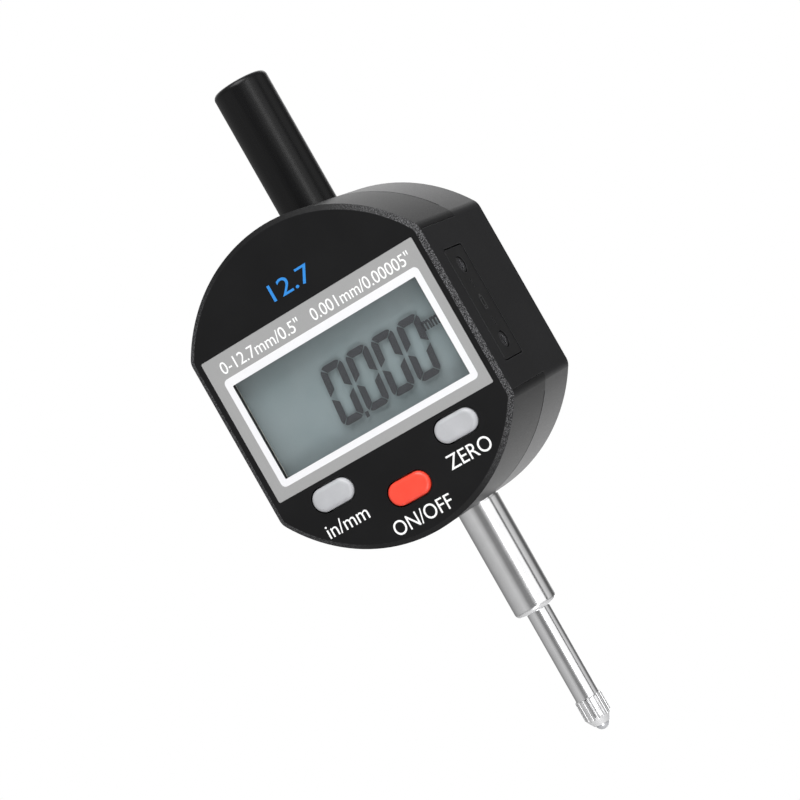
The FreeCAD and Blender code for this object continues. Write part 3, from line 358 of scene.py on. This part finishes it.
def ink(name, dark, light, rough=0.45):
    """Screen-printed ink: a thin film with tiny pinholes and an uneven skin."""
    look = Look(name, roughness=rough, specular=0.4)
    skin = look.noise(0.12, detail=4)
    look.colour(look.blend(look.remap(skin, 0.3, 0.6), dark, light))
    look.roughness(look.remap(skin, 0.3, 0.7, rough - 0.08, rough + 0.1))
    look.bump(skin, 0.003)
    return look.material


# ---------------------------------------------------------------- metals


def polished_steel():
    """Ground and polished steel: fine turning lines round the axis and faint clouding."""
    look = Look("polished_steel", metallic=1.0)
    normal, wear_and_edge_highlight = look.edges(0.06)
    lines = look.noise(0.05, detail=3, stretch=(60, 60, 1))
    cloud = look.noise(4.0, detail=3)
    plain = look.blend(look.remap(cloud, 0.3, 0.7), srgb(226, 226, 227), srgb(236, 236, 237))
    # edges painted brighter: partly wear, partly painted edge highlight
    look.colour(look.blend(look.maths("MULTIPLY", wear_and_edge_highlight, 0.4), plain, srgb(250, 250, 250)))
    smear = look.maths("ADD", look.maths("MULTIPLY", lines, 0.7), look.maths("MULTIPLY", cloud, 0.3))
    look.roughness(look.remap(smear, 0.3, 0.7, 0.12, 0.21))
    look.bump(lines, 0.0006, normal)
    return look.material


def metal(name, dark, light, low, high, grain=0.08, stretch=(1, 1, 12), depth=0.0015):
    """A machined metal with drawn-out tool marks and brighter edges, partly wear and partly a painted
    edge highlight.
    """
    look = Look(name, metallic=1.0)
    normal, wear_and_edge_highlight = look.edges(0.08)
    marks = look.noise(grain, detail=3, stretch=stretch)
    stain = look.noise(1.8, detail=4)
    plain = look.blend(look.remap(stain, 0.3, 0.7), dark, light)
    # brighter edge colour: partly wear, partly painted edge highlight
    edge_wear_and_highlight_colour = tuple(min(1.0, value * 1.25 + 0.03) for value in light[:3]) + (1.0,)
    look.colour(look.blend(look.maths("MULTIPLY", wear_and_edge_highlight, 0.7), plain, edge_wear_and_highlight_colour))
    look.roughness(look.remap(marks, 0.3, 0.7, low, high))
    look.bump(marks, depth, normal)
    return look.material


# ---------------------------------------------------------------- materials on the CAD nodes

paint(["front_cover"], moulded_face())
paint(["rear_housing"], moulded_housing())
paint(["top_cap"], moulded_cap())
paint(["battery_cover"], moulded_hatch())

window = clear_sheet("lens_clear", srgb(252, 253, 253), srgb(255, 255, 255), 0.025, 0.02)
paint(["display_lens"], window)
cell = clear_sheet("lcd_glass", srgb(250, 252, 252), srgb(254, 255, 255), 0.004, 0.05)
paint(["lcd_front_glass"], cell)
paint(["lcd_rear_glass", "lcd_reflector"], display_film())
for name in ("display_lens", "lcd_front_glass"):
    nodes[name].visible_shadow = False
paint(["lens_gasket"], rubber("gasket_foam", srgb(22, 22, 22), srgb(36, 36, 36)))
white_plastic = plain_plastic("white_plastic", srgb(216, 216, 210), srgb(228, 228, 223))
paint(["lcd_holder", "battery_holder"], white_plastic)

grey_button = plain_plastic(
    "grey_button", srgb(172, 173, 176), srgb(182, 183, 186), 0.3, 0.42, 0.12, 0.003, 0.2
)
red_button = plain_plastic(
    "red_button", srgb(240, 66, 46), srgb(248, 76, 56), 0.3, 0.42, 0.12, 0.003, 0.2
)
paint(["button_unit", "button_zero"], grey_button)
paint(["button_power"], red_button)

silicone = rubber("silicone", srgb(176, 176, 172), srgb(194, 194, 190))
paint(["contact_strips", "keypad_membrane", "dome_unit", "dome_power", "dome_zero"], silicone)
black_rubber = rubber("black_rubber", srgb(18, 18, 18), srgb(34, 34, 34))
paint(
    [
        "housing_seal", "battery_cover_seal", "wiper_seal", "lower_stop_washer",
        "upper_stop_washer", "cap_seal",
    ],
    black_rubber,
)

paint(["main_board", "reader_board", "scale_strip"], board_resist())
paint(["driver_chip"], plain_plastic("chip_black", srgb(20, 20, 21), srgb(28, 28, 29)))
cream = plain_plastic("connector_plastic", srgb(214, 206, 184), srgb(226, 219, 199))
paint(["flex_connector"], cream)
amber = plain_plastic("flex_film", srgb(168, 108, 34), srgb(188, 126, 46), 0.2, 0.32)
paint(["flex_cable"], amber)

paint(["stem", "spindle", "contact_point"], polished_steel())
carbide = metal("carbide", srgb(196, 197, 200), srgb(210, 211, 214), 0.07, 0.14, 0.05, (1, 1, 1))
paint(["contact_ball"], carbide)
fine_steel = metal("fine_steel", srgb(196, 196, 198), srgb(212, 212, 214), 0.22, 0.38)
paint(
    [
        "stem_nut", "guide_pin", "guide_rail", "guide_rail_screws", "fixed_spring_pin",
        "moving_spring_pin", "carriage_set_screws", "main_board_screws", "reader_board_screws",
        "crystal", "battery_cell",
    ],
    fine_steel,
)
dark_screw = metal("dark_screw", srgb(112, 112, 114), srgb(134, 134, 137), 0.2, 0.32, 0.1, (3, 1, 1))
paint(["housing_screws", "battery_cover_screws"], dark_screw)
brass = metal("bush_brass", srgb(196, 160, 92), srgb(216, 181, 112), 0.2, 0.34)
paint(["lower_bush", "upper_bush"], brass)
aluminium = metal("carriage_alu", srgb(206, 208, 210), srgb(222, 224, 226), 0.25, 0.4)
paint(["carriage"], aluminium)
spring_steel = metal("spring_steel", srgb(166, 166, 169), srgb(190, 190, 193), 0.18, 0.3)
paint(
    ["return_spring", "battery_contact_negative", "battery_contact_positive"], spring_steel
)

# ---------------------------------------------------------------- flat pieces

# turns from the flat outline's plane onto the front face and onto the right-hand side
ON_FRONT = Matrix(((1, 0, 0), (0, 0, -1), (0, 1, 0))).to_4x4()
ON_RIGHT = Matrix(((0, 0, 1), (1, 0, 0), (0, 1, 0))).to_4x4()


def shape_of(loops, thickness):
    """A mesh from closed outlines in millimetres; an outline inside another is a hole."""
    curve = bpy.data.curves.new("outline", "CURVE")
    curve.dimensions = "2D"
    curve.fill_mode = "BOTH"
    curve.extrude = thickness / 2
    for loop in loops:
        spline = curve.splines.new("POLY")
        spline.points.add(len(loop) - 1)
        for point, (across, up) in zip(spline.points, loop):
            point.co = (across * MM, up * MM, 0.0, 1.0)
        spline.use_cyclic_u = True
    return mesh_of(curve)


def mesh_of(curve):
    """Turns a curve or text into a plain mesh."""
    holder = bpy.data.objects.new("outline", curve)
    scene.collection.objects.link(holder)
    bpy.context.view_layer.update()
    ready = holder.evaluated_get(bpy.context.evaluated_depsgraph_get())
    mesh = bpy.data.meshes.new_from_object(ready)
    bpy.data.objects.remove(holder)
    bpy.data.curves.remove(curve)
    return mesh


def lay(name, mesh, turn, place, material, body="root"):
    """Makes a piece from a flat mesh, turned onto its face and put in place."""
    mesh.transform(Matrix.Translation(place) @ turn)
    mesh.materials.clear()
    mesh.materials.append(material)
    piece = bpy.data.objects.new(name, mesh)
    scene.collection.objects.link(piece)
    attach(piece, body)
    return piece


def rounded_rectangle(left, right, low, high, radius, steps=8):
    """The outline of a rectangle with round corners, in millimetres."""
    corners = (
        (right - radius, high - radius, 0),
        (left + radius, high - radius, 90),
        (left + radius, low + radius, 180),
        (right - radius, low + radius, 270),
    )
    points = []
    for across, up, start in corners:
        for step in range(steps + 1):
            angle = math.radians(start + 90 * step / steps)
            points.append((across + radius * math.cos(angle), up + radius * math.sin(angle)))
    return points


# ---------------------------------------------------------------- printed film on the window

# millimetres: the white frame line's distance from the film's edges, its widths and corners
FRAME_SIDE_INSET = 1.88
FRAME_SHIFT = 0.21
FRAME_TOP_INSET = 4.41
FRAME_BOTTOM_INSET = 1.86
FRAME_SIDE = 1.22
FRAME_TOP = 1.47
FRAME_BOTTOM = 1.2
FRAME_OUTER_CORNER = 0.9
FRAME_INNER_CORNER = 0.15
FILM_CORNER = 0.3


def make_mask():
    """The grey panel and the white frame line, printed on the film over the window."""
    thick = mask_high.y - mask_low.y
    middle = Vector((0.0, (mask_low.y + mask_high.y) / 2, 0.0))
    left, right = mask_low.x / MM, mask_high.x / MM
    low, high = mask_low.z / MM, mask_high.z / MM
    side = right - FRAME_SIDE_INSET
    frame_left, frame_right = FRAME_SHIFT - side, FRAME_SHIFT + side
    top = high - FRAME_TOP_INSET
    bottom = low + FRAME_BOTTOM_INSET
    edge = rounded_rectangle(left, right, low, high, FILM_CORNER)
    outer = rounded_rectangle(frame_left, frame_right, bottom, top, FRAME_OUTER_CORNER)
    inner = rounded_rectangle(
        frame_left + FRAME_SIDE, frame_right - FRAME_SIDE,
        bottom + FRAME_BOTTOM, top - FRAME_TOP, FRAME_INNER_CORNER,
    )
    grey = ink("mask_grey", srgb(152, 152, 152), srgb(158, 158, 158))
    white = ink("mask_white", srgb(226, 226, 228), srgb(232, 232, 234))
    panel = lay("mask_panel", shape_of([edge, outer], thick), ON_FRONT, middle, grey)
    line = lay("mask_frame", shape_of([outer, inner], thick), ON_FRONT, middle, white)
    for piece in (panel, line):
        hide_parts("lens_mask")


make_mask()


# ---------------------------------------------------------------- display segments

# millimetres from the dial's centre; the slant is the lean to the right per unit of height
DIGIT_WIDTH = 4.7
DIGIT_HEIGHT = 10.7
DIGIT_PITCH = 5.45
DIGIT_STROKE = 1.3
DIGIT_CORNER = 1.15
DIGIT_SLANT = 0.11
DIGIT_GAP = 0.2
DIGITS_LEFT = -6.1
DIGITS_LOW = -6.75
POINT_HALF = 0.34
POINT_DROP = 0.45
POINT_TOP = 0.55


def zero_outlines():
    """The six bars of a seven-bar zero, upright, with rounded outer corners and mitred ends."""
    width, height = DIGIT_WIDTH, DIGIT_HEIGHT
    stroke, corner = DIGIT_STROKE, DIGIT_CORNER
    half = height / 2

    def corner_arc(start, end):
        points = []
        for step in range(5):
            angle = math.radians(start + (end - start) * step / 4)
            points.append(
                (corner + corner * math.cos(angle), height - corner + corner * math.sin(angle))
            )
        return points

    left_half = corner_arc(135, 90)
    right_half = [(width - across, up) for across, up in reversed(left_half)]
    top = left_half + right_half + [(width - stroke, height - stroke), (stroke, height - stroke)]
    middle = width / 2
    shrink = 1 - 2 * DIGIT_GAP / width
    top = [(middle + (across - middle) * shrink, up) for across, up in top]

    side = corner_arc(180, 135) + [(stroke, height - stroke)]
    side += [(stroke, half + stroke * 0.75), (0.0, half)]
    centre = (height + half) / 2
    shrink = 1 - 2 * DIGIT_GAP / half
    side = [(across, centre + (up - centre) * shrink) for across, up in side]

    def over(points):
        return [(width - across, up) for across, up in points]

    def under(points):
        return [(across, height - up) for across, up in points]

    return [top, under(top), side, over(side), under(side), under(over(side))]


def slanted(points, across, up):
    """Leans an outline to the right and moves it into place on the dial."""
    moved = []
    for u, w in points:
        moved.append((across + u + DIGIT_SLANT * w, up + w))
    return moved


def make_segments():
    """Four zeros and the point, dark bars on the display's front glass."""
    loops = []
    for index in range(4):
        left = DIGITS_LEFT + index * DIGIT_PITCH
        for outline in zero_outlines():
            loops.append(slanted(outline, left, DIGITS_LOW))
    place = Vector((0.0, glass_low.y - INK / 2, dial.z))
    dark = ink("segment_dark", srgb(44, 46, 50), srgb(51, 53, 57), 0.4)
    lay("display_digits", shape_of(loops, INK), ON_FRONT, place, dark)
    middle = (DIGIT_WIDTH + DIGIT_PITCH) / 2
    point = [
        (middle - POINT_HALF, -POINT_DROP), (middle + POINT_HALF, -POINT_DROP),
        (middle + POINT_HALF, POINT_TOP), (middle - POINT_HALF, POINT_TOP),
    ]
    outline = slanted(point, DIGITS_LEFT, DIGITS_LOW)
    lay("display_point", shape_of([outline], INK), ON_FRONT, place, dark)
    return dark


segment_ink = make_segments()


# ---------------------------------------------------------------- lettering


def text_mesh(text, thickness, bolder=0.0):
    """Plain lettering in the built-in font, not yet fitted to its place."""
    curve = bpy.data.curves.new("lettering", "FONT")
    curve.body = text
    curve.size = 0.01
    curve.offset = bolder
    curve.extrude = thickness / 2
    return mesh_of(curve)


def extent(mesh, axis):
    """The lowest and highest place of a mesh along one axis."""
    values = [vertex.co[axis] for vertex in mesh.vertices]
    return min(values), max(values)


# height of a capital letter and of a small one in the lettering before it is fitted
CAP_SHARE = extent(text_mesh("H", INK), 1)[1]
SMALL_SHARE = extent(text_mesh("m", INK), 1)[1]


def letter(name, text, left, right, base, height, y, material, share=CAP_SHARE, bolder=0.0):
    """Lettering on the front: left, right and base from the dial's centre, in millimetres."""
    mesh = text_mesh(text, INK, bolder)
    low, high = extent(mesh, 0)
    widen = (right - left) * MM / (high - low)
    raise_by = height * MM / share
    fit = Matrix.Diagonal((widen, raise_by, 1.0, 1.0)) @ Matrix.Translation((-low, 0, 0))
    mesh.transform(fit)
    place = Vector((left * MM, y, dial.z + base * MM))
    return lay(name, mesh, ON_FRONT, place, material)


white_ink = ink("ink_white", srgb(240, 240, 240), srgb(250, 250, 250))
blue_ink = ink("ink_blue", srgb(36, 124, 204), srgb(48, 138, 216))
on_face = front_y - INK / 2
on_print = mask_low.y - INK / 2

letter("legend_travel", "12.7", -4.6, 3.9, 17.3, 2.95, on_face, blue_ink)
letter("legend_unit", "in/mm", -17.6, -8.9, -22.0, 2.45, on_face, white_ink)
letter("legend_power", "ON/OFF", -6.3, 5.8, -27.15, 2.5, on_face, white_ink)
letter("legend_zero", "ZERO", 8.5, 17.2, -21.76, 2.5, on_face, white_ink)
letter("legend_range", "0-12.7mm/0.5\"", -19.9, -2.6, 11.2, 2.1, on_print, white_ink)
letter("legend_step", "0.001mm/0.00005\"", 0.0, 20.9, 11.15, 2.1, on_print, white_ink)
letter(
    "display_unit", "mm", 15.7, 19.0, 0.45, 1.45, glass_low.y - INK / 2, segment_ink,
    SMALL_SHARE, 0.00035,
)


# ---------------------------------------------------------------- battery mark on the cover


def make_battery_mark():
    """A small raised battery outline with its nub and two short bars, between the two dashes."""
    loops = [
        rounded_rectangle(-0.65, 0.65, -1.35, 1.05, 0.25, 4),
        rounded_rectangle(-0.5, 0.5, -1.2, 0.9, 0.15, 4),
        rounded_rectangle(-0.28, 0.28, 1.15, 1.4, 0.08, 4),
        rounded_rectangle(-0.25, 0.25, 0.38, 0.52, 0.05, 4),
        rounded_rectangle(-0.25, 0.25, -0.82, -0.68, 0.05, 4),
    ]
    height = 0.04 * MM
    place = Vector((hatch_high.x + height / 2, hatch_middle.y, hatch_middle.z))
    raised = plain_plastic("mark_black", srgb(40, 40, 41), srgb(52, 52, 53), 0.25, 0.35)
    mark = lay("battery_mark", shape_of(loops, height), ON_RIGHT, place, raised)


make_battery_mark()


# ---------------------------------------------------------------- rubber domes under the buttons


def make_domes():
    """Copies each dome that the record lists as deforming into a piece of its own, and hides the CAD
    dome.
    """
    for joint in frame["record"]["behaviour"]["joints"]:
        for soft in joint["deforming_nodes"]:
            if not soft["node"].startswith("dome_"):
                continue
            node = nodes[soft["node"]]
            mesh = node.data.copy()
            mesh.transform(node.matrix_world)
            dome = bpy.data.objects.new("soft_" + soft["node"], mesh)
            scene.collection.objects.link(dome)
            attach(dome, "root")
            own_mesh(dome)
            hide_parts(soft["node"])


make_domes()


# ---------------------------------------------------------------- camera

# where the camera stands round the object, how far off, how it rolls and what it aims at
AZIMUTH = math.radians(25.46)
ELEVATION = math.radians(-0.63)
ROLL = math.radians(29.65)
DISTANCE = 445.27 * MM
AIM = Vector((-3.13 * MM, 0.0, dial.z - 7.14 * MM))
FOCAL_LENGTH = 114.91
SENSOR_WIDTH = 36.0

right = Vector((math.cos(AZIMUTH), math.sin(AZIMUTH), 0.0))
forward = Vector(
    (
        -math.sin(AZIMUTH) * math.cos(ELEVATION),
        math.cos(AZIMUTH) * math.cos(ELEVATION),
        -math.sin(ELEVATION),
    )
)
up = right.cross(forward)
camera_right = math.cos(ROLL) * right - math.sin(ROLL) * up
camera_up = math.sin(ROLL) * right + math.cos(ROLL) * up


def make_camera():
    """The camera, rolled so that the indicator leans to the left in the picture."""
    data = bpy.data.cameras.new("camera")
    data.sensor_width = SENSOR_WIDTH
    data.lens = FOCAL_LENGTH
    data.clip_start = 0.01
    data.clip_end = 20.0
    camera = bpy.data.objects.new("camera", data)
    scene.collection.objects.link(camera)
    turn = Matrix((camera_right, camera_up, -forward)).transposed().to_4x4()
    camera.matrix_world = Matrix.Translation(AIM - forward * DISTANCE) @ turn
    scene.camera = camera


make_camera()


# ---------------------------------------------------------------- studio

FLOOR_HALF = 0.7
FLOOR_BELOW_TIP = 350 * MM
# degrees above or below the level, between which one ring of panels gives way to the other
LEVEL_UP_TO = 10
HIGH_FROM = 24

# bearing round the vertical, 0 straight in front of the dial, and the level there
LEVEL_PANELS = (
    (-180.0, 0.5),
    (-150.0, 0.33),
    (-125.0, 0.24),
    (-85.0, 0.45),
    (-30.0, 0.66),
    (-12.0, 0.5),
    (0.0, 0.24),
    (20.0, 0.22),
    (30.0, 0.5),
    (40.0, 0.9),
    (48.0, 1.2),
    (87.0, 1.3),
    (92.0, 0.08),
    (98.0, 0.08),
    (104.0, 0.8),
    (128.0, 0.55),
    (142.0, 0.12),
    (165.0, 0.1),
    (174.0, 0.4),
)
# the same, further up and further down
HIGH_PANELS = (
    (-180.0, 1.0),
    (-140.0, 0.8),
    (-100.0, 0.35),
    (-10.0, 0.35),
    (30.0, 0.8),
    (100.0, 0.5),
    (140.0, 0.2),
    (165.0, 0.6),
)


def make_world():
    """A soft studio: pale panels all round with darker gaps, and a white backdrop."""
    world = bpy.data.worlds.new("studio")
    scene.world = world
    world.use_nodes = True
    tree = world.node_tree
    tree.nodes.clear()
    output = tree.nodes.new("ShaderNodeOutputWorld")
    coordinates = tree.nodes.new("ShaderNodeTexCoord")
    parts = tree.nodes.new("ShaderNodeSeparateXYZ")
    tree.links.new(coordinates.outputs["Generated"], parts.inputs["Vector"])

    flipped = tree.nodes.new("ShaderNodeMath")
    flipped.operation = "MULTIPLY"
    flipped.inputs[1].default_value = -1.0
    tree.links.new(parts.outputs["Y"], flipped.inputs[0])
    bearing = tree.nodes.new("ShaderNodeMath")
    bearing.operation = "ARCTAN2"
    tree.links.new(parts.outputs["X"], bearing.inputs[0])
    tree.links.new(flipped.outputs["Value"], bearing.inputs[1])
    share = tree.nodes.new("ShaderNodeMapRange")
    share.inputs["From Min"].default_value = -math.pi
    share.inputs["From Max"].default_value = math.pi
    tree.links.new(bearing.outputs["Value"], share.inputs["Value"])

    def ring(panels):
        ramp = tree.nodes.new("ShaderNodeValToRGB")
        stops = ramp.color_ramp.elements
        ends = (stops[0], stops[1])
        ends[0].position = 0.0
        ends[1].position = 1.0
        for end in ends:
            end.color = (panels[0][1], panels[0][1], panels[0][1], 1.0)
        for degrees, level in panels[1:]:
            stop = stops.new((degrees + 180) / 360)
            stop.color = (level, level, level, 1.0)
        tree.links.new(share.outputs["Result"], ramp.inputs["Fac"])
        return ramp.outputs["Color"]

    tall = tree.nodes.new("ShaderNodeMath")
    tall.operation = "ABSOLUTE"
    tree.links.new(parts.outputs["Z"], tall.inputs[0])
    height = tree.nodes.new("ShaderNodeMapRange")
    height.inputs["From Min"].default_value = math.sin(math.radians(LEVEL_UP_TO))
    height.inputs["From Max"].default_value = math.sin(math.radians(HIGH_FROM))
    tree.links.new(tall.outputs["Value"], height.inputs["Value"])
    around = tree.nodes.new("ShaderNodeMix")
    around.data_type = "RGBA"
    tree.links.new(height.outputs["Result"], around.inputs["Factor"])
    low_socket = [s for s in around.inputs if s.name == "A" and s.type == "RGBA"][0]
    high_socket = [s for s in around.inputs if s.name == "B" and s.type == "RGBA"][0]
    tree.links.new(ring(LEVEL_PANELS), low_socket)
    tree.links.new(ring(HIGH_PANELS), high_socket)

    soft = tree.nodes.new("ShaderNodeBackground")
    mixed = [s for s in around.outputs if s.type == "RGBA"][0]
    tree.links.new(mixed, soft.inputs["Color"])
    white = tree.nodes.new("ShaderNodeBackground")
    white.inputs["Color"].default_value = (1.0, 1.0, 1.0, 1.0)
    path = tree.nodes.new("ShaderNodeLightPath")
    mix = tree.nodes.new("ShaderNodeMixShader")
    tree.links.new(path.outputs["Is Camera Ray"], mix.inputs["Fac"])
    tree.links.new(soft.outputs["Background"], mix.inputs[1])
    tree.links.new(white.outputs["Background"], mix.inputs[2])
    tree.links.new(mix.outputs["Shader"], output.inputs["Surface"])


make_world()


def softbox(name, bearing, rise, distance, wide, tall, level):
    """A soft lamp aimed at the dial, upright in the picture and out of the camera's sight."""
    turn = math.radians(bearing)
    lift = math.radians(rise)
    away = Vector(
        (math.sin(turn) * math.cos(lift), -math.cos(turn) * math.cos(lift), math.sin(lift))
    )
    data = bpy.data.lights.new(name, "AREA")
    data.shape = "RECTANGLE"
    data.size = wide
    data.size_y = tall
    data.energy = level * math.pi * wide * tall
    lamp = bpy.data.objects.new(name, data)
    scene.collection.objects.link(lamp)
    upright = (camera_up - away * camera_up.dot(away)).normalized()
    across = upright.cross(away)
    axes = Matrix((across, upright, away)).transposed().to_4x4()
    lamp.matrix_world = Matrix.Translation(AIM + away * distance) @ axes
    lamp.visible_camera = False
    return lamp


softbox("strip_softbox", 50, 0, 0.6, 0.1, 1.2, 3.0)
softbox("top_softbox", 25, 58, 0.6, 0.45, 0.45, 5.0)
softbox("front_low_softbox", 20, -42, 0.5, 0.2, 0.2, 4.5)
softbox("rear_high_softbox", -168, 26, 0.6, 0.4, 0.3, 0.9)
softbox("rear_low_softbox", -168, -24, 0.6, 0.4, 0.3, 0.9)


def make_floor():
    """Pale floor under the tip; it only shows the soft shadow that falls on it."""
    mesh = bpy.data.meshes.new("floor")
    half = FLOOR_HALF
    level = tip.z - FLOOR_BELOW_TIP
    corners = [(-half, -half, level), (half, -half, level), (half, half, level), (-half, half, level)]
    mesh.from_pydata(corners, [], [(0, 1, 2, 3)])
    floor = bpy.data.objects.new("floor", mesh)
    scene.collection.objects.link(floor)
    pale = plain_plastic("floor_pale", srgb(238, 238, 238), srgb(246, 246, 246), 0.6, 0.8, 2.0)
    mesh.materials.append(pale)
    floor.is_shadow_catcher = True


make_floor()

scene.view_settings.view_transform = "Standard"
